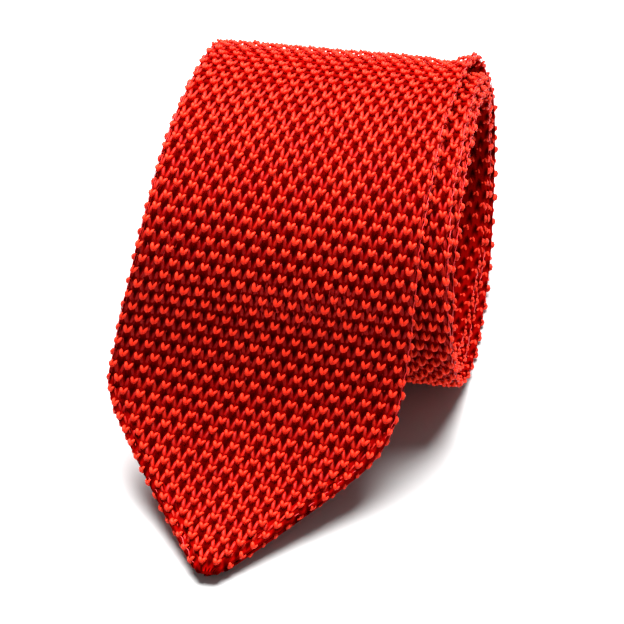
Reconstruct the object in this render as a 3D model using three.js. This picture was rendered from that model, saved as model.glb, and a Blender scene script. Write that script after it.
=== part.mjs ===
// A knitted tie, rolled up from its narrow end and lying on its side. The pointed wide blade comes
// over the top of the roll, down its front and out along the surface the tie rests on.
// Millimetres. +X runs along the roll, -Y is the front, +Z is up, and z = 0 is what it rests on.

import * as THREE from "three";

// Driving sizes.
const TIE_LENGTH = 1360;
const BLADE_WIDTH = 60; // across the two corners of the point
const CLOTH = 2.1; // the flattened knitted tube, both of its walls
const PLY_GAP = 0.3; // between pieces that lie on each other or meet end to end
const TURN_GAP = 0.45; // between one turn of the roll and the next
const ROLL_DEPTH = 75; // front to back
const ROLL_HEIGHT = 60;
const ROLL_SQUARENESS = 2.1; // 2 is an ellipse, and more is boxier
const SAG = 2.6; // how far the roll's own weight flattens it where it rests
const TIP_REACH = 79.5; // from the roll's middle out to the tip of the point
const TIP_SLOPE = 11; // degrees, falling towards the tip
const LEAVE_ANGLE = 12; // degrees up the front, where the blade leaves the roll
const KNEE_SHARE = 0.76; // 1 folds the blade sharply where it turns outwards
const BLADE_LENGTH = 640;
const NECK_LENGTH = 330;
const FACET_SAG = 0.08; // how far a flat facet may leave the true curve
const LONGEST_STEP = 5.4;
const SHORTEST_STEP = 2;
const LINE_STEP = 0.5; // how closely the middle line is worked out
const SMOOTHING = 1.5; // half the chord that gives the cloth's direction

// The cloth's two edges, by distance along the tie from the tip of the point. All three columns
// are shares of BLADE_WIDTH, and the edges count from the middle of the roll.
const EDGES = [
  { along: 0, left: -0.265, right: -0.195 },
  { along: 0.04, left: -0.29, right: -0.165 },
  { along: 0.45, left: -0.555, right: 0.245 },
  { along: 0.56, left: -0.622, right: 0.312 },
  { along: 0.65, left: -0.655, right: 0.332 },
  { along: 0.84, left: -0.629, right: 0.355 },
  { along: 1.2, left: -0.563, right: 0.365 },
  { along: 1.6, left: -0.508, right: 0.392 },
  { along: 1.9, left: -0.465, right: 0.42 },
  { along: 2.25, left: -0.44, right: 0.455 },
  { along: 2.55, left: -0.43, right: 0.508 },
  { along: 3.15, left: -0.42, right: 0.535 },
  { along: 3.55, left: -0.415, right: 0.53 },
  { along: 4.05, left: -0.42, right: 0.495 },
  { along: 4.65, left: -0.45, right: 0.447 },
  { along: 5.25, left: -0.44, right: 0.472 },
  { along: 6.25, left: -0.4, right: 0.515 },
  { along: 7.65, left: -0.42, right: 0.475 },
  { along: 9.25, left: -0.38, right: 0.505 },
  { along: 11, left: -0.36, right: 0.43 },
  { along: 13.5, left: -0.3, right: 0.34 },
  { along: TIE_LENGTH / BLADE_WIDTH, left: -0.28, right: 0.32 },
];
// The corners folded under the point: where each begins and ends along the tie, and the seam where
// the two meet, across the tie, at its tip and at its end. Also shares of BLADE_WIDTH.
const FOLD = { start: 0.04, leftEnd: 0.65, rightEnd: 0.56, seamAtTip: -0.228, seamAtEnd: -0.16 };

// The roll, seen along its axis.
const PITCH = CLOTH + TURN_GAP;
const HALF_DEPTH = (ROLL_DEPTH - CLOTH) / 2;
const HALF_HEIGHT = (ROLL_HEIGHT + SAG - CLOTH) / 2;
const MIDDLE_HEIGHT = ROLL_HEIGHT - CLOTH / 2 - HALF_HEIGHT;

const radians = THREE.MathUtils.degToRad;

// The blade's middle at its tip, so that the corner folded under it just rests.
const TIP_HEIGHT = 1.5 * CLOTH + PLY_GAP - FOLD.start * BLADE_WIDTH * Math.sin(radians(TIP_SLOPE));

function rounded(value) {
  return Math.sign(value) * Math.abs(value) ** (2 / ROLL_SQUARENESS);
}

// A point in the middle of the cloth's thickness, so many turns in from where the blade leaves.
function rollPoint(turns) {
  const angle = radians(LEAVE_ANGLE) + 2 * Math.PI * turns;
  const sunk = PITCH * turns;
  const y = -(HALF_DEPTH - sunk) * rounded(Math.cos(angle));
  const z = MIDDLE_HEIGHT + (HALF_HEIGHT - sunk) * rounded(Math.sin(angle));
  const lowest = CLOTH / 2 + PITCH * Math.floor(turns + LEAVE_ANGLE / 360);
  return new THREE.Vector2(y, Math.max(z, lowest));
}

// The blade's fall from the roll to its tip, as one curve through a soft knee.
function fallCurve() {
  const top = rollPoint(0);
  const down = rollPoint(0).sub(rollPoint(0.002)).normalize();
  const tip = new THREE.Vector2(-TIP_REACH, TIP_HEIGHT);
  const back = new THREE.Vector2(Math.cos(radians(TIP_SLOPE)), Math.sin(radians(TIP_SLOPE)));
  const across = tip.clone().sub(top);
  const reach = across.cross(back) / down.cross(back);
  const knee = top.clone().addScaledVector(down, reach);
  const nearTip = tip.clone().lerp(knee, KNEE_SHARE);
  const nearTop = top.clone().lerp(knee, KNEE_SHARE);
  return new THREE.CubicBezierCurve(tip, nearTip, nearTop, top);
}

// The whole tie's middle line from tip to narrow end, closely spaced, with the length so far.
function middleLine() {
  let length = fallCurve().getLength();
  const points = fallCurve().getSpacedPoints(Math.ceil(length / LINE_STEP));
  for (let turns = 0; length < TIE_LENGTH + LONGEST_STEP; ) {
    const radius = HALF_DEPTH - PITCH * turns;
    turns += LINE_STEP / (2 * Math.PI * radius);
    const next = rollPoint(turns);
    length += next.distanceTo(points[points.length - 1]);
    points.push(next);
  }
  let along = 0;
  return points.map((point, i) => {
    along += i ? point.distanceTo(points[i - 1]) : 0;
    return { along, point };
  });
}

const LINE = middleLine();

function pointAt(along) {
  let low = 0;
  let high = LINE.length - 1;
  while (high - low > 1) {
    const half = (low + high) >> 1;
    if (LINE[half].along <= along) low = half;
    else high = half;
  }
  const share = (along - LINE[low].along) / (LINE[high].along - LINE[low].along);
  return LINE[low].point.clone().lerp(LINE[high].point, share);
}

// Which way the cloth runs there.
function directionAt(along) {
  return pointAt(along + SMOOTHING).sub(pointAt(along - SMOOTHING)).normalize();
}

function radiusAt(along) {
  const turn = directionAt(along - SMOOTHING).angleTo(directionAt(along + SMOOTHING));
  return (2 * SMOOTHING) / Math.max(turn, 0.01);
}

function edgesAt(along) {
  const share = along / BLADE_WIDTH;
  const later = EDGES.findIndex((row) => row.along > share);
  const next = later < 0 ? EDGES.length - 1 : Math.max(1, later);
  const [a, b] = [EDGES[next - 1], EDGES[next]];
  const mix = (share - a.along) / (b.along - a.along);
  return {
    left: BLADE_WIDTH * THREE.MathUtils.lerp(a.left, b.left, mix),
    right: BLADE_WIDTH * THREE.MathUtils.lerp(a.right, b.right, mix),
  };
}

// Stations from one place along the tie to another, closer where it bends more. Rows of EDGES
// between them are always stations, so that the point keeps its corners.
function stations(from, to) {
  const rows = EDGES.map((row) => row.along * BLADE_WIDTH).filter((s) => s > from && s < to);
  const stops = [...rows, to];
  const found = [from];
  for (const stop of stops) {
    const start = found[found.length - 1];
    const spans = [];
    for (let s = start; s < stop - 0.01; ) {
      const wish = Math.sqrt(8 * FACET_SAG * radiusAt(s));
      const step = THREE.MathUtils.clamp(wish, SHORTEST_STEP, LONGEST_STEP);
      spans.push(step);
      s += step;
    }
    const stretch = (stop - start) / spans.reduce((a, b) => a + b, 0);
    let s = start;
    for (const span of spans) {
      s += span * stretch;
      found.push(s);
    }
  }
  return found;
}

// A closed strip of cloth with round edges. offset moves it off the middle line, outwards.
function clothStrip(from, to, offset = 0, edges = edgesAt) {
  const places = stations(from, to);
  const around = [90, 45, 0, -45, -90].map(radians);
  const positions = [];
  for (const along of places) {
    const centre = pointAt(along);
    const run = directionAt(along);
    const { left, right } = edges(along);
    const round = Math.min(CLOTH / 2, (right - left) / 2 - 0.05);
    const section = [
      ...around.map((a) => [right - round + round * Math.cos(a), Math.sin(a)]),
      ...around.map((a) => [left + round - round * Math.cos(a), -Math.sin(a)]),
    ];
    for (const [x, lift] of section) {
      const out = offset + (lift * CLOTH) / 2;
      positions.push(x, centre.x - run.y * out, centre.y + run.x * out);
    }
  }
  const count = 2 * around.length;
  const last = (places.length - 1) * count;
  const index = [];
  for (let ring = 0; ring < places.length - 1; ring++) {
    for (let i = 0; i < count; i++) {
      const a = ring * count + i;
      const b = ring * count + ((i + 1) % count);
      index.push(a, b, a + count, b, b + count, a + count);
    }
  }
  for (let i = 1; i < count - 1; i++) {
    index.push(0, i + 1, i);
    index.push(last, last + i, last + i + 1);
  }
  const geometry = new THREE.BufferGeometry();
  geometry.setAttribute("position", new THREE.Float32BufferAttribute(positions, 3));
  geometry.setIndex(index);
  geometry.computeVertexNormals();
  return geometry;
}

// A corner of the blade's end, folded under the point and reaching in to the seam.
function foldedCorner(isLeft) {
  const end = isLeft ? FOLD.leftEnd : FOLD.rightEnd;
  const edges = (along) => {
    const { left, right } = edgesAt(along);
    const share = along / (FOLD.leftEnd * BLADE_WIDTH);
    const seam = BLADE_WIDTH * THREE.MathUtils.lerp(FOLD.seamAtTip, FOLD.seamAtEnd, share);
    return isLeft ? { left, right: seam - PLY_GAP / 2 } : { left: seam + PLY_GAP / 2, right };
  };
  return clothStrip(FOLD.start * BLADE_WIDTH, end * BLADE_WIDTH, -CLOTH - PLY_GAP, edges);
}

function piece(name, geometry, color) {
  const yarn = new THREE.MeshStandardMaterial({ color, roughness: 0.55, metalness: 0 });
  const mesh = new THREE.Mesh(geometry, yarn);
  mesh.name = name;
  return mesh;
}

const roll = new THREE.Group();
const neckStart = BLADE_LENGTH + PLY_GAP;
const tailStart = neckStart + NECK_LENGTH + PLY_GAP;
roll.add(piece("wide_blade", clothStrip(0, BLADE_LENGTH), 0xc8141e));
roll.add(piece("point_fold_left", foldedCorner(true), 0xb0101a));
roll.add(piece("point_fold_right", foldedCorner(false), 0xb0101a));
roll.add(piece("neck_band", clothStrip(neckStart, tailStart - PLY_GAP), 0xb81018));
roll.add(piece("narrow_tail", clothStrip(tailStart, TIE_LENGTH), 0xa80e16));

// The origin is the middle of the tie's box, at the height of what it rests on.
const box = new THREE.Box3().setFromObject(roll);
const middle = box.getCenter(new THREE.Vector3());
roll.position.set(-middle.x, -middle.y, 0);

const tie = new THREE.Group();
tie.name = "rolled_knitted_tie";
tie.add(roll);

export default tie;
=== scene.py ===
# %% [markdown]
# A red knitted tie, rolled up from its narrow end and lying on its side, with the pointed wide
# blade running down the front and out along the surface. The imported solids give the form of
# every piece, and this file dresses them: a thin dark strip for the body of the cloth, and on it
# each raised stitch, loop and strand as real yarn, so that the light finds the relief by itself.

# %% Load the fixed frame and keep its solids in place
import math

import bpy
import numpy as np
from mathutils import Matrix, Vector


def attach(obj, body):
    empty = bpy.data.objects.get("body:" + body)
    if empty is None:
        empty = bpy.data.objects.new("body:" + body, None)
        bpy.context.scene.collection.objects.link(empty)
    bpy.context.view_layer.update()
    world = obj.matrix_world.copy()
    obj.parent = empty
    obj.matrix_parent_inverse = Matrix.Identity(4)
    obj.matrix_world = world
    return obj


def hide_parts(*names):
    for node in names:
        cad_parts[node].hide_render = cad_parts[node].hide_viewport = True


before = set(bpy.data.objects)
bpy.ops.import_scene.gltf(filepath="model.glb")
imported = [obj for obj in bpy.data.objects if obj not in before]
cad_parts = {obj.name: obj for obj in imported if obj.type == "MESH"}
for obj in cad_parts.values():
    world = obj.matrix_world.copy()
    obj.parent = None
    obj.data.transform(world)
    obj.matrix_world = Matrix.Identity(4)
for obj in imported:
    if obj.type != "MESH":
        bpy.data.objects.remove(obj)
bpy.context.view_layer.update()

# %% [markdown]
# The sizes below are those of the solids, in millimetres. Everything is worked out in
# millimetres in the roll's own frame and turned to metres only when a mesh is made.

# %% Sizes of the tie and of its knitting
MM = 0.001
ROLL_SHIFT = np.array([3.6, 21.712, 0.0])  # the roll's own frame in the row frame
TIE_LENGTH, BLADE_LENGTH, NECK_LENGTH = 1360.0, 640.0, 330.0
BLADE_WIDTH, CLOTH, PLY_GAP, TURN_GAP = 60.0, 2.1, 0.3, 0.45
ROLL_DEPTH, ROLL_HEIGHT, SAG, SQUARENESS = 75.0, 60.0, 2.6, 2.1
TIP_REACH, TIP_SLOPE, LEAVE_ANGLE, KNEE_SHARE = 79.5, math.radians(11), math.radians(12), 0.76
FOLD_START, FOLD_LEFT, FOLD_RIGHT, SEAM_TIP, SEAM_END = 0.04, 0.65, 0.56, -0.228, -0.16
PITCH = CLOTH + TURN_GAP
HALF_DEPTH = (ROLL_DEPTH - CLOTH) / 2
HALF_HEIGHT = (ROLL_HEIGHT + SAG - CLOTH) / 2
MIDDLE_HEIGHT = ROLL_HEIGHT - CLOTH / 2 - HALF_HEIGHT
TIP_HEIGHT = 1.5 * CLOTH + PLY_GAP - FOLD_START * BLADE_WIDTH * math.sin(TIP_SLOPE)

# The cloth's edges: distance from the tip, left edge, right edge, as shares of the blade's width.
EDGES = np.array([
    (-0.12, -0.22, -0.24), (0, -0.265, -0.195), (0.04, -0.29, -0.165), (0.45, -0.555, 0.245), (0.56, -0.622, 0.312),
    (0.65, -0.655, 0.332), (0.84, -0.629, 0.355), (1.2, -0.563, 0.365), (1.6, -0.508, 0.392),
    (1.9, -0.465, 0.42), (2.25, -0.44, 0.455), (2.55, -0.43, 0.508), (3.15, -0.42, 0.535),
    (3.55, -0.415, 0.53), (4.05, -0.42, 0.495), (4.65, -0.45, 0.447), (5.25, -0.44, 0.472),
    (6.25, -0.4, 0.515), (7.65, -0.42, 0.475), (9.25, -0.38, 0.505), (11, -0.36, 0.43),
    (13.5, -0.3, 0.34), (1360 / 60, -0.28, 0.32),
]) * BLADE_WIDTH

WALES = 18.5  # raised stitches across the blade
COURSE = 5.1  # from a raised stitch to the next one up the same wale
COURSE_SKEW = math.tan(math.radians(3.8))  # the rows fall a little towards the right
TIP_MIDDLE = -0.23
CORNER = 0.65 * BLADE_WIDTH  # where the point begins, on the left
RIGHT_CORNER = 0.56 * BLADE_WIDTH


# %% [markdown]
# The whole tie follows one line when seen along the roll: a Bezier curve from the tip through a
# soft knee to the roll, and then a spiral of rounded-off ellipses, flat where it rests. A table
# of that line, half a millimetre a step, is enough to place anything on the cloth.

# %% The tie's middle line, and any point of the cloth
def rounded(value):
    """Sign of value times its size to the power 2 / SQUARENESS: the corner of a superellipse."""
    return np.sign(value) * np.abs(value) ** (2 / SQUARENESS)


def roll_point(turns):
    """A superellipse that shrinks by PITCH a turn, and never lies lower than its own turn rests."""
    angle = LEAVE_ANGLE + 2 * np.pi * turns
    y = -(HALF_DEPTH - PITCH * turns) * rounded(np.cos(angle))
    z = MIDDLE_HEIGHT + (HALF_HEIGHT - PITCH * turns) * rounded(np.sin(angle))
    lowest = CLOTH / 2 + PITCH * np.floor(turns + LEAVE_ANGLE / (2 * np.pi))
    return np.stack([y, np.maximum(z, lowest)], -1)


def fall_curve(count):
    """Cubic Bezier: tip, two handles KNEE_SHARE of the way to the knee, and the roll's first point.
    The knee is where the roll's first tangent meets the sloping line through the tip."""
    top = roll_point(np.array([0.0]))[0]
    down = top - roll_point(np.array([0.002]))[0]
    tip = np.array([-TIP_REACH, TIP_HEIGHT])
    back = np.array([math.cos(TIP_SLOPE), math.sin(TIP_SLOPE)])
    cross = lambda a, b: a[0] * b[1] - a[1] * b[0]
    knee = top + down * cross(tip - top, back) / cross(down, back)
    near_tip, near_top = tip + (knee - tip) * KNEE_SHARE, top + (knee - top) * KNEE_SHARE
    t = np.linspace(0, 1, count)[:, None]
    s = 1 - t
    return s**3 * tip + 3 * s * s * t * near_tip + 3 * s * t * t * near_top + t**3 * top


def middle_line():
    """The fall and the spiral joined, with the length and the turns so far. Turns grow so that each
    step on the spiral is about half a millimetre: (R - sqrt(R^2 - pitch * s / pi)) / pitch."""
    step = np.arange(0.5, 1.13 * TIE_LENGTH, 0.5)
    turns = (HALF_DEPTH - np.sqrt(HALF_DEPTH**2 - PITCH * step / np.pi)) / PITCH
    fall = fall_curve(400)
    before = fall[0] + 40 * (fall[0] - fall[1])
    points = np.concatenate([[before], fall, roll_point(turns)])
    along = np.concatenate([[0], np.cumsum(np.linalg.norm(np.diff(points, axis=0), axis=1))])
    return along - along[1], points, np.concatenate([np.linspace(-0.3, 0, 401), turns])


LINE_ALONG, LINE, LINE_TURNS = middle_line()


def line_at(along):
    return np.stack([np.interp(along, LINE_ALONG, LINE[:, i]) for i in (0, 1)], -1)


def direction_at(along):
    """The chord over three millimetres, so that the spiral's small steps don't show."""
    run = line_at(along + 1.5) - line_at(along - 1.5)
    return run / np.linalg.norm(run, axis=-1, keepdims=True)


def edges_at(along):
    """Straight between the table's rows, averaged over a few millimetres past the point."""
    spread = np.clip((along - 20) / 40, 0.12, 1) * 5.0
    ends = []
    for column in (1, 2):
        row = [np.interp(along + k * spread, EDGES[:, 0], EDGES[:, column]) for k in (-1, 0, 1)]
        ends.append(0.25 * row[0] + 0.5 * row[1] + 0.25 * row[2])
    return ends


def lip(along, across):
    """How far the blade's right edge curls up at the back of the top: a smooth step over the last
    6 mm after a shallow dip, times a bell along the tie."""
    near = (across - edges_at(along)[1]) / 6 + 1
    step = np.clip(near, 0, 1.3)
    rise = 1.8 * step**2 * (1.8 - 0.8 * step) - 0.5 * np.exp(-((near + 0.1) / 0.5) ** 2)
    return rise * np.exp(-(((along - 134) / 15) ** 2))


def cloth_point(along, across, lift):
    """The middle line's point plus lift times the line's outward normal; across is x. Anything
    that would sink through the surface the tie rests on is pressed flat on it."""
    centre, run = line_at(along), direction_at(along)
    lift = lift + lip(along, across)
    y = centre[..., 0] - run[..., 1] * lift
    z = centre[..., 1] + run[..., 0] * lift
    point = np.stack([across, y, np.maximum(z, 0.03)], -1)
    return point + ROLL_SHIFT


print("length of the line:", round(float(LINE_ALONG[-1])), "mm")


# %% [markdown]
# Knitting runs in wales, the columns of stitches, and in courses, the rows. On the blade the
# wales keep to its two edges. In the point they run on straight, and the folded edges cut them.

# %% Wales and courses on the cloth
def wale_lines(along):
    """Centre of the cloth and the width of one wale. Below the corners both go on as they were."""
    left, right = edges_at(np.maximum(along, CORNER))
    centre, width = (left + right) / 2, (right - left) / WALES
    seam = BLADE_WIDTH * (-0.232 + (along / CORNER) * (-0.1615 + 0.232))
    return np.where(along < CORNER, seam, centre), width


def knit_place(wale, height):
    """wale counts stitches from the cloth's centre and height is in millimetres along it, on rows
    that fall to the right. Returns the place on the cloth laid flat: along and across."""
    centre, width = wale_lines(height)
    along = height - wale * width * COURSE_SKEW
    centre, width = wale_lines(along)
    return along, centre + wale * width


# %% [markdown]
# The tie is a flattened tube, so its knitting runs on round both edges to the reverse. In the
# point it runs round the fold and on over the corners that are folded under. One function bends
# flat cloth round an edge, so stitches, loops and strands all follow the same turn.

# %% Round the edges
def bend_at(along, across):
    """The edge that the place is nearest to, or furthest past: its side (-1 left, 1 right), its
    outward normal on the flat cloth, the radius of its turn (half of one thickness, or of two
    where a corner is folded under), and how far the place lies past the start of the turn,
    square to the edge. The blunt end of the point is an edge too."""
    two, one = CLOTH + PLY_GAP / 2, CLOTH / 2
    across = across + 0 * along
    now, before, after = edges_at(along), edges_at(along - 1), edges_at(along + 1)
    found = []
    for side, edge, a, b, end in zip((-1, 1), now, before, after, (CORNER, RIGHT_CORNER)):
        size = np.sqrt(1 + ((b - a) / 2) ** 2)
        radius = np.interp(along, [end - 2, end + 1], [two, one])
        past = (across - edge) * side / size + radius
        found.append([side + 0 * past, -(b - a) / 2 * side / size, side / size, radius, past])
    from_tip = across - BLADE_WIDTH * TIP_MIDDLE
    ahead = np.where(np.abs(from_tip) < 2.6, two - along, -99)
    found.append([np.where(from_tip < 0, -1.0, 1.0), -1.0, 0.0, two, ahead])
    table = np.array([[np.broadcast_to(v, across.shape) for v in row] for row in found])
    nearest = np.argmax(table[:, 4], axis=0)
    return [np.take_along_axis(table[:, i], nearest[None], 0)[0] for i in range(5)]


def bent(along, across, lift, centre=None):
    """Past the start of the turn the cloth follows a half circle: angle = distance / radius, and
    after half a turn it runs back underneath. Points of one stitch all follow the bend at its
    centre, given as along and across. Returns along, across and lift."""
    from_along, from_across = centre if centre else (along, across)
    side, out_along, out_across, radius, past = bend_at(from_along, from_across)
    past = past + (along - from_along) * out_along + (across - from_across) * out_across
    past = np.maximum(past, 0)
    angle = np.minimum(past / radius, np.pi)
    beyond = np.maximum(past - np.pi * radius, 0)
    blunt = (out_across == 0) & (out_along == -1)
    reach = radius + np.where(blunt, 0.5 * lift - 0.5, lift) - CLOTH / 2
    kept_out = (reach + np.sqrt(reach**2 + 0.1)) / 2
    reach = reach + np.minimum(angle / 0.5, 1) * (kept_out - reach)
    shift = reach * np.sin(angle) - past - beyond
    level = CLOTH / 2 - radius + reach * np.cos(angle)
    return along + out_along * shift, across + out_across * shift, level


def bent_point(along, across, lift, centre=None):
    return cloth_point(*bent(along, across, lift, centre)) * MM


# %% [markdown]
# A mesh needs only its points and faces. Finished pieces sit at the origin, unturned.

# %% Make a mesh piece from arrays
def new_piece(name, points, quads, tris=None, uv=None, painted_shade_and_tone=None):
    """points in metres. uv is one pair and tone one number for each point, both for materials. On the stitches that
    number holds random unevenness of the yarn together with painted shade and painted highlight.
    """
    tris = np.zeros((0, 3), int) if tris is None else tris
    mesh = bpy.data.meshes.new(name)
    loops = np.concatenate([quads.ravel(), tris.ravel()]).astype(np.int32)
    sizes = np.concatenate([np.full(len(quads), 4), np.full(len(tris), 3)]).astype(np.int32)
    mesh.vertices.add(len(points))
    mesh.vertices.foreach_set("co", points.astype(np.float32).ravel())
    mesh.loops.add(len(loops))
    mesh.loops.foreach_set("vertex_index", loops)
    mesh.polygons.add(len(sizes))
    mesh.polygons.foreach_set("loop_start", (np.cumsum(sizes) - sizes).astype(np.int32))
    mesh.polygons.foreach_set("loop_total", sizes)
    mesh.polygons.foreach_set("use_smooth", np.ones(len(sizes), bool))
    mesh.update(calc_edges=True)
    if uv is not None:
        layer = mesh.uv_layers.new(name="knit")
        layer.data.foreach_set("uv", uv[loops].astype(np.float32).ravel())
    if painted_shade_and_tone is not None:
        mesh.attributes.new("painted_shade_and_tone", "FLOAT", "POINT").data.foreach_set(
            "value", painted_shade_and_tone.astype(np.float32)
        )
    mesh.validate()
    piece = bpy.data.objects.new(name, mesh)
    bpy.context.scene.collection.objects.link(piece)
    print(name, "faces:", len(sizes))
    return piece


# %% [markdown]
# The body of the cloth is a thin closed strip under the stitches. It is painted darker than they are, as painted
# shade: on the real tie one looks between the stitches into the shaded inside of a flattened tube.

# %% The strips that carry the stitches
BODY_OUT, BODY_IN = -0.05, -1.0  # the strip's two faces, from the middle of the cloth
EDGE_INSET = 0.7


def strip(name, start, end, edges=edges_at, offset=0.0, step=1.6, flip=False):
    """A closed band: a flat loop of 48 points carried along the middle line, with capped ends."""
    heights = np.linspace(start, end, int((end - start) / step) + 2)
    left, right = edges(heights)
    left, right = left + EDGE_INSET, right - EDGE_INSET
    right = np.maximum(right, left + 0.6)
    face = (1 - np.cos(np.linspace(0, np.pi, 22))) / 2
    across = np.concatenate([face, [1.0, 1.0], face[::-1], [0.0, 0.0]])
    out, inside = (-BODY_IN, -BODY_OUT) if flip else (BODY_OUT, BODY_IN)
    mid, thin = (out + inside) / 2, (out - inside) / 2
    level = np.concatenate([np.full(22, 1.0), [0.5, -0.5], np.full(22, -1.0), [-0.5, 0.5]])
    bulge = np.concatenate([np.zeros(22), [0.3, 0.3], np.zeros(22), [-0.3, -0.3]])
    x = left[:, None] + (right - left)[:, None] * across + bulge
    lift = offset + mid + thin * level * np.ones_like(x)
    points = cloth_point(heights[:, None] * np.ones_like(x), x, lift) * MM
    centre, width = wale_lines(heights)
    uv = np.stack([
        (x - centre[:, None]) / width[:, None],
        (heights[:, None] + (x - centre[:, None]) * COURSE_SKEW) / COURSE,
    ], -1)
    rings, count = x.shape
    a = np.arange((rings - 1) * count).reshape(rings - 1, count)
    b = np.roll(a, -1, axis=1)
    quads = np.stack([a, b, b + count, a + count], -1).reshape(-1, 4)
    fan = np.arange(1, count - 1)
    last = (rings - 1) * count
    tris = np.concatenate([
        np.stack([np.zeros_like(fan), fan + 1, fan], -1),
        np.stack([np.full_like(fan, last), last + fan, last + fan + 1], -1),
    ])
    return new_piece(name, points.reshape(-1, 3), quads, tris, uv.reshape(-1, 2))


def fold_edges(is_left):
    def edges(along):
        left, right = edges_at(along)
        seam = BLADE_WIDTH * (SEAM_TIP + (SEAM_END - SEAM_TIP) * along / CORNER)
        return (left, seam - PLY_GAP / 2) if is_left else (seam + PLY_GAP / 2, right)
    return edges


NECK_START = BLADE_LENGTH + PLY_GAP
TAIL_START = NECK_START + NECK_LENGTH + PLY_GAP
UNDER = -CLOTH - PLY_GAP  # the corners folded under the point lie this far below the blade
blade = strip("wide_blade_cloth", 0.6, BLADE_LENGTH)
neck = strip("neck_band_cloth", NECK_START, TAIL_START - PLY_GAP)
tail = strip("narrow_tail_cloth", TAIL_START, TIE_LENGTH)
fold_left = strip(
    "point_fold_left_cloth", FOLD_START * BLADE_WIDTH, CORNER, fold_edges(True), UNDER, flip=True
)
fold_right = strip(
    "point_fold_right_cloth", FOLD_START * BLADE_WIDTH, FOLD_RIGHT * BLADE_WIDTH,
    fold_edges(False), UNDER, flip=True,
)

# %% [markdown]
# A raised stitch is two leaf-shaped lobes of yarn that meet at the bottom, like a small heart.
# Above it two thin strands open into a smaller V with a dark hole inside. Each is a short tube with a few sides
# that swells and thins along a path.

# %% Short tubes of yarn
def tube(path, wide, thick, sides):
    """Rings of an ellipse, wide across and thick out of the cloth, at each point of path, with a
    pole at either end. A column of path is: across, along, lift. Returns points, quads, tris, uv."""
    path = np.array(path, float)
    wide, thick = np.array(wide), np.array(thick)
    run = np.gradient(path, axis=0)
    run /= np.linalg.norm(run, axis=1, keepdims=True)
    side = np.cross(run, [0.0, 0.0, 1.0])
    side /= np.maximum(np.linalg.norm(side, axis=1, keepdims=True), 1e-6)
    up = np.cross(side, run)
    turn = 2 * np.pi * np.arange(sides) / sides
    rings = path[1:-1, None] + (
        side[1:-1, None] * (np.cos(turn)[None, :, None] * wide[1:-1, None, None])
        + up[1:-1, None] * (np.sin(turn)[None, :, None] * thick[1:-1, None, None])
    )
    count = len(path) - 2
    points = np.concatenate([rings.reshape(-1, 3), path[:1], path[-1:]])
    a = np.arange((count - 1) * sides).reshape(count - 1, sides)
    b = np.roll(a, -1, axis=1)
    quads = np.stack([a, a + sides, b + sides, b], -1).reshape(-1, 4)
    first, last = np.arange(sides), (count - 1) * sides + np.arange(sides)
    low, high = count * sides, count * sides + 1
    tris = np.concatenate([
        np.stack([np.full(sides, low), first, np.roll(first, -1)], -1),
        np.stack([np.full(sides, high), np.roll(last, -1), last], -1),
    ])
    length = np.linspace(0, 1, len(path))
    uv = np.concatenate([
        np.stack(np.meshgrid(np.abs(turn / np.pi - 1), length[1:-1]), -1).reshape(-1, 2),
        [[0.5, 0.0], [0.5, 1.0]],
    ])
    return points, quads, tris, uv


def joined(parts):
    """Several shapes as one, the faces of each counted on from the points before it."""
    start, points, quads, tris, uv = 0, [], [], [], []
    for p, q, t, m in parts:
        points.append(p), quads.append(q + start), tris.append(t + start), uv.append(m)
        start += len(p)
    return [np.concatenate(x) for x in (points, quads, tris, uv)]


LOBE_LEFT = tube(
    [(0.1, -0.86, 0.3), (-0.08, -0.52, 0.76), (-0.28, -0.1, 0.88), (-0.44, 0.34, 0.78),
     (-0.52, 0.66, 0.52), (-0.5, 0.92, 0.1)],
    [0, 0.36, 0.44, 0.4, 0.3, 0], [0, 0.36, 0.44, 0.42, 0.3, 0], 6)
LOBE_RIGHT = tube(
    [(0.08, -0.78, 0.3), (0.26, -0.44, 0.7), (0.46, -0.05, 0.8), (0.68, 0.3, 0.7),
     (0.84, 0.54, 0.46), (0.92, 0.78, 0.1)],
    [0, 0.3, 0.38, 0.35, 0.26, 0], [0, 0.32, 0.4, 0.38, 0.27, 0], 6)
ARM_LEFT = tube(
    [(-0.05, 0.6, -0.05), (-0.42, 1.3, 0.1), (-0.68, 2.3, 0.14), (-0.6, 3.6, -0.15)],
    [0, 0.42, 0.46, 0], [0, 0.34, 0.36, 0], 5)
ARM_RIGHT = tube(
    [(0.1, 0.6, -0.05), (0.5, 1.3, 0.06), (0.8, 2.3, 0.1), (0.82, 3.5, -0.15)],
    [0, 0.4, 0.42, 0], [0, 0.32, 0.34, 0], 5)
for lobe in (LOBE_LEFT, LOBE_RIGHT):
    lobe[0][:, :2] *= 0.92
HEART = joined([LOBE_LEFT, LOBE_RIGHT, ARM_LEFT, ARM_RIGHT])
ARM_START = len(LOBE_LEFT[0]) + len(LOBE_RIGHT[0])
print("faces of one stitch:", len(HEART[1]) + len(HEART[2]))


# %% [markdown]
# The same few dozen faces are repeated over the cloth. Every copy is nudged, turned and scaled a
# little from a seeded generator, because no two stitches of a real knit pull up the same.

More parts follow.
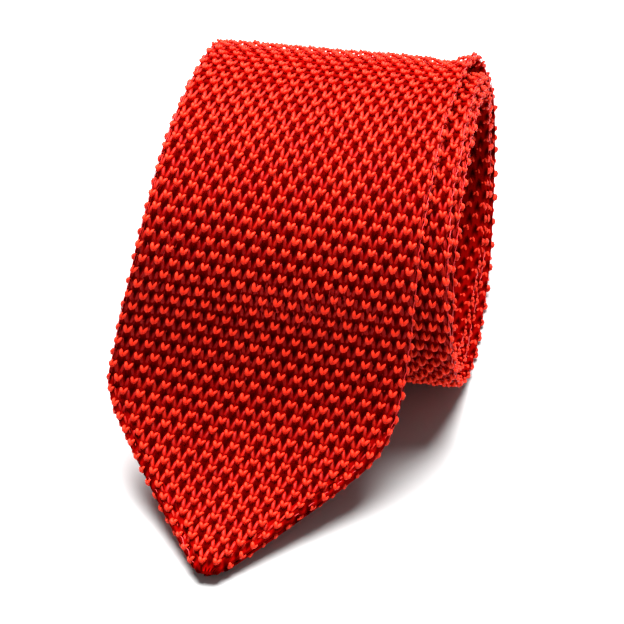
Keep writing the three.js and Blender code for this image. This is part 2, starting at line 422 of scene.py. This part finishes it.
# %% Spread stitches over the cloth
def spread_stitches(name, low, high, keep, seed):
    """One stitch at each raised place of a staggered lattice between two heights, where keep, a
    function of the place's along, across and bend, says so."""
    rng = np.random.default_rng(seed)
    rows = np.arange(math.ceil(low * 2 / COURSE), math.ceil(high * 2 / COURSE))
    columns = np.arange(-20, 21)
    row, column = [g.ravel() for g in np.meshgrid(rows, columns, indexing="ij")]
    wale, height = column + 0.5 * (row % 2), row * COURSE / 2
    along, across = knit_place(wale, height)
    chosen = keep(along, across, bend_at(along, across))
    wale, height = wale[chosen], height[chosen]
    centre = along[chosen, None], across[chosen, None]
    points, quads, tris, uv = HEART
    n, v = len(wale), len(points)
    grow = 1 + rng.normal(0, 0.05, (n, 1))
    turn = rng.normal(0, 0.07, (n, 1))
    a, b, c = points.T
    a2 = (a * np.cos(turn) - b * np.sin(turn)) * grow + rng.normal(0, 0.07, (n, 1))
    b2 = (a * np.sin(turn) + b * np.cos(turn)) * grow + rng.normal(0, 0.08, (n, 1))
    lift = c * (1 + rng.normal(0, 0.06, (n, 1))) + rng.normal(0, 0.04, (n, 1))
    along, across = knit_place(wale[:, None] + a2 / 3.2, height[:, None] + b2)
    steep = np.abs(direction_at(centre[0])[..., 1])
    is_arm = np.arange(v) >= ARM_START
    placed = bent_point(along, across, lift - 0.3 * steep * is_arm, centre)
    base = (np.arange(n) * v)[:, None, None]
    # The colour number of each point: the arms are painted darker as painted shade, and darker still where the
    # cloth is steep, as painted shade on the front that the light only grazes. The lobes are painted lighter
    # towards their upper ends as painted highlight. The random part is real unevenness of the yarn.
    painted_shade_and_tone = np.where(is_arm, 0.15 - 0.45 * steep, 0.75 + 0.45 * b) + rng.uniform(-0.2, 0.2, (n, 1))
    painted_shade_and_tone = painted_shade_and_tone.ravel()
    return new_piece(
        name, placed.reshape(-1, 3), (quads + base).reshape(-1, 4), (tris + base).reshape(-1, 3),
        np.tile(uv, (n, 1)), painted_shade_and_tone,
    )


def shown(along, across, bend):
    """The whole outer face, and of the turns inside it only what sticks out past the turn
    outside them. On the reverse, what sticks out past the next turn in, or 7 mm at most."""
    side, _, _, radius, past = bend
    turns = np.interp(along, LINE_ALONG, LINE_TURNS)
    outer, inner = [edges_at(np.interp(turns + k, LINE_TURNS, LINE_ALONG)) for k in (-1, 1)]
    own = edges_at(along)
    front = np.where(side < 0, outer[0] - own[0], own[1] - outer[1])
    back = np.where(side < 0, inner[0] - own[0], own[1] - inner[1])
    back = np.where(turns < 0, 40.0, np.clip(back + 1.2, 0.6, 7.0))
    return ((turns < 1.02) | (past > -front - 2.0)) & (past < np.pi * radius + back)


def shown_point(along, across, bend):
    """In the point the knitting runs on underneath, as far as the seam and the folds' ends."""
    side, _, out_across, radius, past = bend
    on_along, on_across, _ = bent(along, across, np.full_like(along, 0.5))
    seam = BLADE_WIDTH * (SEAM_TIP + (SEAM_END - SEAM_TIP) * on_along / CORNER)
    end = np.where(side < 0, CORNER, RIGHT_CORNER)
    fold = (side * (on_across - seam) > 0.9) & (on_along > 0.8) & (on_along < end - 1.2)
    left, right = edges_at(on_along)
    lands = (on_along > np.where(past > 3, 3.0, 0.9)) & (on_across > left - 0.5) & (on_across < right + 0.5)
    turned = np.where(out_across == 0, 2.4, np.pi * radius)
    point = lands & (fold | (past < turned))
    return np.where(end > along - 4, point, shown(along, across, bend))


STITCHES = {
    "wide_blade": [
        spread_stitches("blade_stitches_point", -10, 66, shown_point, 11),
        spread_stitches("blade_stitches_front", 66, 150, shown, 12),
        spread_stitches("blade_stitches_back", 150, 262, shown, 13),
        spread_stitches("blade_stitches_inner_turns", 262, 638, shown, 14),
    ],
    "neck_band": [spread_stitches("neck_band_stitches", 642, 968, shown, 15)],
    "narrow_tail": [spread_stitches("narrow_tail_stitches", 973, 1357, shown, 16)],
}


# %% [markdown]
# Where a fold goes round two layers, the real cloth is one bent skin. A thin half tube stands for
# it under the stitches, so that nobody looks in between the layers. And along every edge run
# loose wavy strands, which catch the light as thin pale lines.

# %% The folds of the point, and loose strands along the edges
def band_along(name, along, past, lift, side, painted_shade_and_tone=None):
    """A closed loop of points, given as distance past the start of the turn and as lift, carried
    along one edge. along is a column, past and lift are one row or a full table."""
    size = np.ones_like(along * past)
    left, right = edges_at(along * size)
    edge = np.where(side < 0, left, right)
    _, out_along, out_across, radius, _ = bend_at(np.maximum(along, 2.4) * size, edge + 9 * side)
    reach = past - radius
    points = bent_point(along * size + out_along * reach, edge + out_across * reach, lift * size)
    rings, count = points.shape[:2]
    a = np.arange((rings - 1) * count).reshape(rings - 1, count)
    b = np.concatenate([a[:, 1:], a[:, :1]], axis=1)
    quads = np.stack([a, a + count, b + count, b], -1).reshape(-1, 4)
    if side > 0:
        quads = quads[:, ::-1]
    fan = np.arange(1, count - 1)
    last = (rings - 1) * count
    tris = np.concatenate([
        np.stack([np.zeros_like(fan), fan, fan + 1], -1),
        np.stack([np.full_like(fan, last), last + fan + 1, last + fan], -1),
    ])
    if side > 0:
        tris = tris[:, ::-1]
    return points.reshape(-1, 3), quads, tris, np.zeros((rings * count, 2))


def fold_skin(name, end, side):
    along = np.linspace(1.6, end, 40)[:, None]
    span = np.linspace(-0.6, np.pi * (CLOTH + PLY_GAP / 2) + 0.6, 14)
    past = np.concatenate([span, span[::-1]])[None, :]
    lift = np.concatenate([np.full(14, 0.05), np.full(14, -0.4)])[None, :]
    points, quads, tris, _ = band_along(name, along, past, lift, side)
    uv = np.stack([past / 3.2 + 0 * along, along / COURSE + 0 * past], -1).reshape(-1, 2)
    return new_piece(name, points, quads, tris, uv)


def tip_skin():
    """The same half tube round the blunt end of the point, carried across it."""
    across = BLADE_WIDTH * TIP_MIDDLE + np.linspace(-2.3, 2.3, 6)[:, None]
    span = np.linspace(-0.8, np.pi * (CLOTH + PLY_GAP / 2) + 0.6, 14)
    past = np.concatenate([span, span[::-1]])[None, :] + 0 * across
    lift = np.concatenate([np.full(14, 0.05), np.full(14, -0.4)])[None, :] + 0 * across
    centre = np.zeros_like(past), BLADE_WIDTH * TIP_MIDDLE + 0 * past
    points = bent_point(CLOTH + PLY_GAP / 2 - past, across + 0 * past, lift, centre)
    a = np.arange(5 * 28).reshape(5, 28)
    b = np.roll(a, -1, axis=1)
    fan = np.arange(1, 27)
    tris = [np.stack([0 * fan, fan + 1, fan], -1), np.stack([0 * fan + 140, fan + 140, fan + 141], -1)]
    uv = np.stack([across / 3.2 + 0 * past, past / COURSE], -1).reshape(-1, 2)
    quads = np.stack([a, b, b + 28, a + 28], -1).reshape(-1, 4)
    return new_piece("point_tip_skin", points.reshape(-1, 3), quads, np.concatenate(tris), uv)


def edge_strands(name, start, end, seed):
    """Two strands on each edge, a small square in section: each wanders round the edge as a
    wave of one course with an uneven size."""
    rng = np.random.default_rng(seed)
    along = np.arange(start, end, 0.45)[:, None]
    corner = np.array([[-1, -1, 1, 1], [-1, 1, 1, -1]]) * 0.075
    parts = []
    for side in (-1, 1):
        for place, phase in ((0.33, 0.0), (0.62, 2.0)):
            knots = rng.normal(0, 1, (len(along) // 9 + 2, 2))
            drift = np.stack([
                np.interp(np.arange(len(along)), np.arange(len(knots)) * 9, knots[:, i]) for i in (0, 1)
            ], -1)
            radius = bend_at(along, 99.0 * side)[3]
            wave = 0.28 * np.sin(2 * np.pi * along * 2 / COURSE + phase) + 0.22 * drift[:, :1]
            past = np.pi * radius * place + wave + corner[0][None, :]
            lift = 0.55 + 0.15 * drift[:, 1:] + corner[1][None, :]
            parts.append(band_along(name, along, past, lift, side))
    points, quads, tris, uv = joined(parts)
    return new_piece(name, points, quads, tris, uv, np.full(len(points), 0.9))


SKINS = [
    fold_skin("point_fold_left_skin", CORNER - 1.5, -1),
    fold_skin("point_fold_right_skin", RIGHT_CORNER - 1.5, 1),
    tip_skin(),
]
STRANDS = {
    "wide_blade": edge_strands("blade_edge_strands", 2.0, 639.0, 21),
    "neck_band": edge_strands("neck_band_edge_strands", 642.0, 969.0, 22),
    "narrow_tail": edge_strands("narrow_tail_edge_strands", 973.0, 1359.0, 23),
}

# %% [markdown]
# The camera stands where the photograph's did: a little to the right of the front and 42 degrees
# up, far enough away for the narrow view of a product picture.

# %% Camera
azimuth, elevation, distance = math.radians(7.5), math.radians(42), 0.85
aim = Vector((0.0018, 0.00737, 0.01447))
toward = Vector((
    math.sin(azimuth) * math.cos(elevation), -math.cos(azimuth) * math.cos(elevation),
    math.sin(elevation),
))
camera_data = bpy.data.cameras.new("camera")
camera_data.sensor_fit = "HORIZONTAL"
camera_data.angle = math.radians(8.52)
camera_data.clip_start, camera_data.clip_end = 0.05, 10
camera = bpy.data.objects.new("camera", camera_data)
camera.location = aim + toward * distance
camera.rotation_euler = toward.to_track_quat("Z", "Y").to_euler()
bpy.context.scene.collection.objects.link(camera)
bpy.context.scene.camera = camera

# %% Finishes
def linear(hex_colour):
    """sRGB hex to linear red, green, blue and alpha."""
    channels = [int(hex_colour[i : i + 2], 16) / 255 for i in (1, 3, 5)]
    return [c / 12.92 if c <= 0.04045 else ((c + 0.055) / 1.055) ** 2.4 for c in channels] + [1]


def node(tree, kind, inputs=None, **properties):
    """Adds one node. inputs maps a socket's name or number to the output that feeds it, or to its
    own value."""
    made = tree.nodes.new(kind)
    for key, value in properties.items():
        setattr(made, key, value)
    for socket, value in (inputs or {}).items():
        if isinstance(value, bpy.types.NodeSocket):
            tree.links.new(value, made.inputs[socket])
        else:
            made.inputs[socket].default_value = value
    return made


def math_node(tree, operation, a, b=0.0):
    return node(tree, "ShaderNodeMath", {0: a, 1: b}, operation=operation).outputs[0]


def new_material(name, shader):
    """An empty material whose shader's settings are given once for the whole surface."""
    material = bpy.data.materials.new(name)
    material.use_nodes = True
    tree = material.node_tree
    tree.nodes.clear()
    made = node(tree, "ShaderNodeBsdfPrincipled", shader)
    node(tree, "ShaderNodeOutputMaterial", {"Surface": made.outputs[0]})
    return material, tree, made


# Rayon yarn is smooth and lustrous: strong red, a soft highlight, and a faint bloom at the rim.
yarn, tree, shader = new_material("lustrous_knitted_rayon_yarn", {
    "Roughness": 0.55, "Specular IOR Level": 0.16, "Sheen Weight": 0.04, "Sheen Roughness": 0.4,
    "Sheen Tint": linear("#FF7A40"),
})
# The mix factor comes from the per-point number. Besides random unevenness it carries painted shade, which takes
# the arms towards the dark end #A00201, and painted highlight, which takes the lobes' upper ends towards the bright
# orange end #FF3216.
painted_shade_and_tone = node(tree, "ShaderNodeAttribute", attribute_name="painted_shade_and_tone").outputs["Fac"]
place = node(tree, "ShaderNodeUVMap", uv_map="knit").outputs[0]
stretched = node(tree, "ShaderNodeMapping", {"Vector": place, "Scale": (9, 1.5, 1)}).outputs[0]
plies = node(tree, "ShaderNodeTexNoise", {"Vector": stretched, "Scale": 1.0, "Detail": 2.0}).outputs[0]
amount = math_node(tree, "ADD", math_node(tree, "MULTIPLY", painted_shade_and_tone, 0.8), math_node(tree, "MULTIPLY", plies, 0.4))
colour = node(tree, "ShaderNodeMix", {"Factor": amount}, data_type="RGBA")
colour.inputs["A"].default_value = linear("#A00201")
colour.inputs["B"].default_value = linear("#FF3216")
bump = node(tree, "ShaderNodeBump", {"Height": plies, "Strength": 0.4, "Distance": 0.0002})
tree.links.new(colour.outputs["Result"], shader.inputs["Base Color"])
tree.links.new(bump.outputs[0], shader.inputs["Normal"])

strand, tree, shader = new_material("loose_rayon_strands", {
    "Base Color": linear("#DC181C"), "Roughness": 0.5, "Sheen Weight": 0.05,
    "Sheen Tint": linear("#FF8A90"),
})

# The cloth's body: painted dark between the stitches as painted shade, with the same staggered lattice as bump,
# which is all there is of it on the reverse inside the roll.
body, tree, shader = new_material("knitted_rayon_cloth_body_painted_shade", {
    "Roughness": 0.9, "Specular IOR Level": 0.0,
})
u, v = node(tree, "ShaderNodeSeparateXYZ", {0: node(tree, "ShaderNodeUVMap", uv_map="knit").outputs[0]}).outputs[:2]
turn_u = math_node(tree, "MULTIPLY", u, 2 * math.pi)
zigzag = math_node(tree, "MULTIPLY", math_node(tree, "ABSOLUTE", math_node(tree, "SINE", turn_u)), 0.9)
turn_v = math_node(tree, "SUBTRACT", math_node(tree, "MULTIPLY", v, 2 * math.pi), zigzag)
lattice = math_node(tree, "MULTIPLY", math_node(tree, "COSINE", turn_u), math_node(tree, "COSINE", turn_v))
height = node(tree, "ShaderNodeMapRange", {"Value": lattice, "From Min": -0.95, "From Max": 0.1}).outputs[0]
# Painted shade: the lattice's holes get near-black red #300000 and the rest dark red #820302, both far darker than
# the stitches.
colour = node(tree, "ShaderNodeMix", {"Factor": height}, data_type="RGBA")
colour.inputs["A"].default_value = linear("#300000")
colour.inputs["B"].default_value = linear("#820302")
bump = node(tree, "ShaderNodeBump", {"Height": height, "Strength": 0.8, "Distance": 0.0006})
tree.links.new(colour.outputs["Result"], shader.inputs["Base Color"])
tree.links.new(bump.outputs[0], shader.inputs["Normal"])

floor_finish, tree, shader = new_material("matt_pale_paper", {
    "Base Color": linear("#C4C4C4"), "Roughness": 0.9,
})

# %% Give every piece its finish, hang it on the root and hide its solid
cloths = {
    blade: ("wide_blade", (0.060, 0.640), 0.0351, [*STITCHES["wide_blade"], STRANDS["wide_blade"]]),
    fold_left: ("point_fold_left", (0.026, 0.0366), 0.00052, SKINS[:1]),
    fold_right: ("point_fold_right", (0.028, 0.0312), 0.00050, SKINS[1:]),
    neck: ("neck_band", (0.053, 0.330), 0.0160, [*STITCHES["neck_band"], STRANDS["neck_band"]]),
    tail: ("narrow_tail", (0.037, 0.389), 0.0143, [*STITCHES["narrow_tail"], STRANDS["narrow_tail"]]),
}
for piece, (name, flat, area, riders) in cloths.items():
    for part in [piece, *riders]:
        is_yarn, is_strand = "stitches" in part.name, "strands" in part.name
        part.data.materials.append(yarn if is_yarn else strand if is_strand else body)
        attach(part, "root")
    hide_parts(name)

# %% Floor and light
floor_mesh = bpy.data.meshes.new("floor")
floor_mesh.from_pydata([(-3, -3, 0), (3, -3, 0), (3, 3, 0), (-3, 3, 0)], [], [(0, 1, 2, 3)])
floor = bpy.data.objects.new("floor", floor_mesh)
floor.data.materials.append(floor_finish)
bpy.context.scene.collection.objects.link(floor)


def area_light(name, place, target, size, power):
    data = bpy.data.lights.new(name, "AREA")
    data.shape, data.size, data.energy = "DISK", size, power
    lamp = bpy.data.objects.new(name, data)
    lamp.location = Vector(place)
    lamp.rotation_euler = (Vector(place) - Vector(target)).to_track_quat("Z", "Y").to_euler()
    bpy.context.scene.collection.objects.link(lamp)
    return lamp


area_light("overhead", (-0.02, 0.4, 0.95), (0, 0, 0.03), 0.95, 54)
world = bpy.data.worlds.new("studio")
bpy.context.scene.world = world
world.use_nodes = True
world.node_tree.nodes["Background"].inputs["Color"].default_value = (1, 1, 1, 1)
world.node_tree.nodes["Background"].inputs["Strength"].default_value = 0.2
bpy.context.scene.view_settings.view_transform = "Standard"

# %% Sizes and finish
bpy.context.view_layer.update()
SHOWN = [o for o in bpy.data.objects if o.type == "MESH" and not o.hide_render and o != floor]
print("triangles:", {o.name: sum(len(p.vertices) - 2 for p in o.data.polygons) for o in SHOWN})
